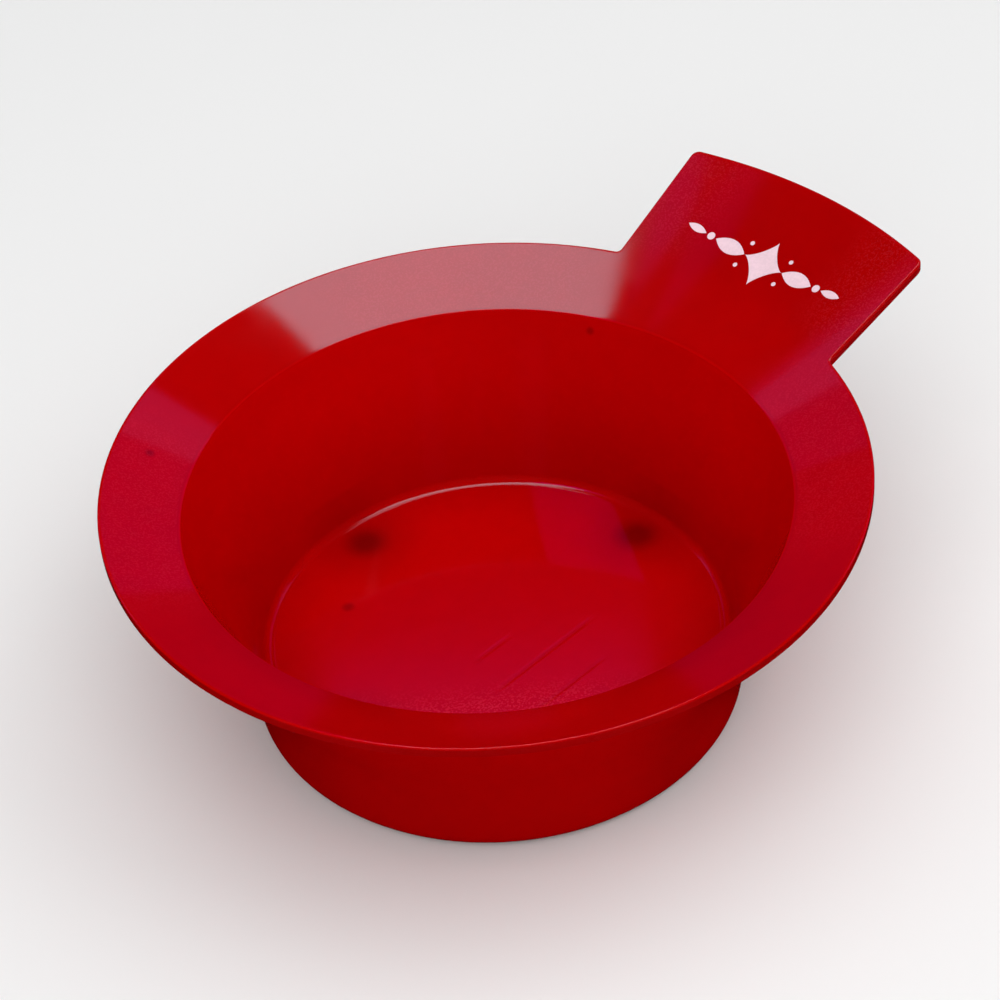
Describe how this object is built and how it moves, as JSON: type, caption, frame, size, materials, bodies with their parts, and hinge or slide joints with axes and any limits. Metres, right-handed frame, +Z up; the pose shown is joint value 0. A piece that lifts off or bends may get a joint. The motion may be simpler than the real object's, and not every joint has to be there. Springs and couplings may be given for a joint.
{
  "type": "hair color bowl",
  "caption": "Round plastic tint mixing bowl with a sloping rim flange, a wide tab handle in line with it and rubber feet under a hollow foot skirt.",
  "frame": {"origin": "middle of the bounding box's footprint, in the plane that the feet stand on; the bowl's own axis stands 12.4 mm from it on -X", "axes": "+Z up, parallel to the bowl's axis; +X from the bowl towards the end of the tab handle"},
  "size_m": [0.1698, 0.145, 0.0617],
  "materials": {
    "bowl_plastic": "translucent red polypropylene, satin from a fine spark-eroded mould texture",
    "foot_rubber": "soft dark rubber, matt",
    "print": "white pad-printed ink, matt"
  },
  "bodies": {
    "root": {"bowl": "bowl_plastic", "foot_handle_side": "foot_rubber", "foot_left": "foot_rubber", "foot_far_side": "foot_rubber", "foot_right": "foot_rubber"}
  },
  "joints": []
}
